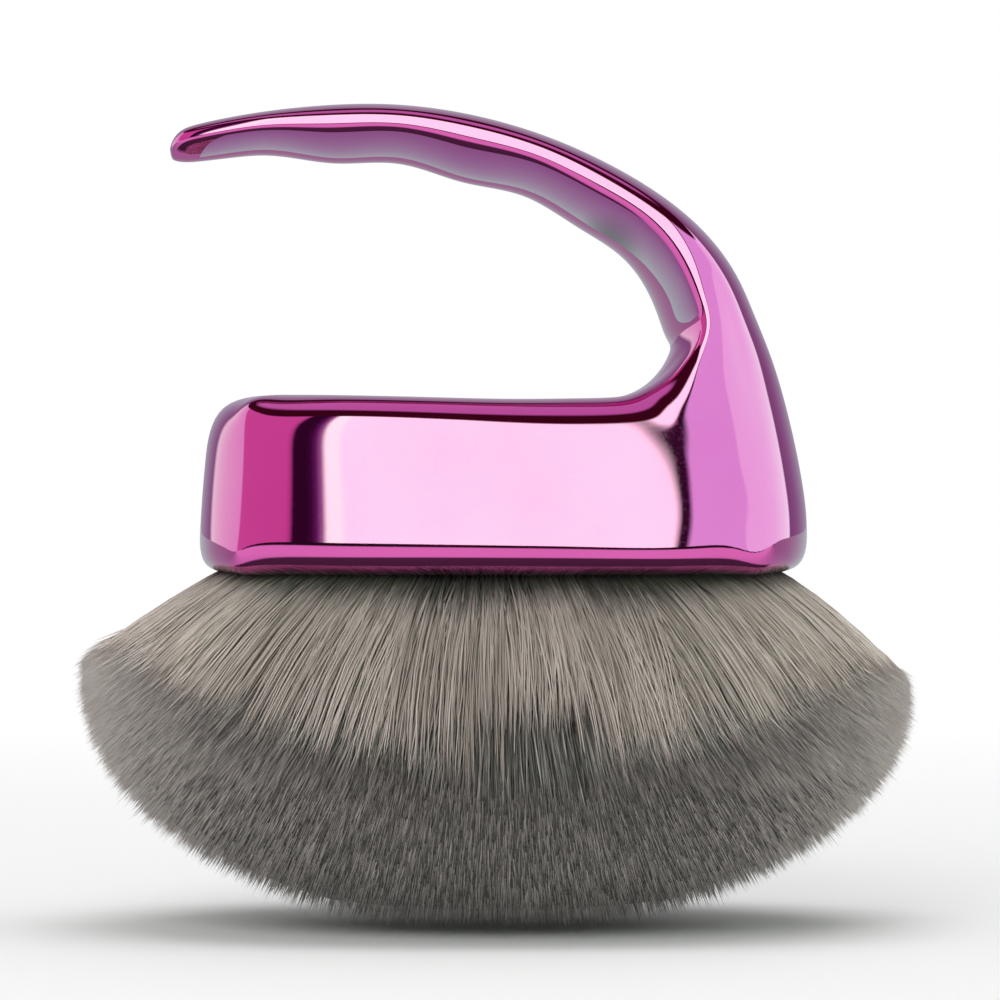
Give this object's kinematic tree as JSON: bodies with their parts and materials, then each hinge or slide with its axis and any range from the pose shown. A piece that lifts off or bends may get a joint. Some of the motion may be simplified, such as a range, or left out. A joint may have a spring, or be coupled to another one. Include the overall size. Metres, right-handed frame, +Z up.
{
  "type": "kabuki makeup brush",
  "caption": "Kabuki body brush: plated hook handle with finger grooves on a hollow oval base, over a dense flared tuft cut to a dome, for powder and body makeup.",
  "frame": {"origin": "on the surface that the brush stands on, under the middle of the tuft", "axes": "+Z up, +X towards the neck of the hook (the finger loop opens towards -X), +Y away from the viewer of the picture"},
  "size_m": [0.105, 0.0652, 0.1027],
  "materials": {
    "plated_shell": "gloss",
    "cup_plastic": "satin",
    "adhesive": "satin",
    "potting": "gloss",
    "bristle": "matte"
  },
  "bodies": {
    "root": {"handle": "plated_shell", "bristle_cup": "cup_plastic", "cup_bond": "adhesive", "root_glue": "potting", "bristle_tuft": "bristle"}
  },
  "joints": []
}
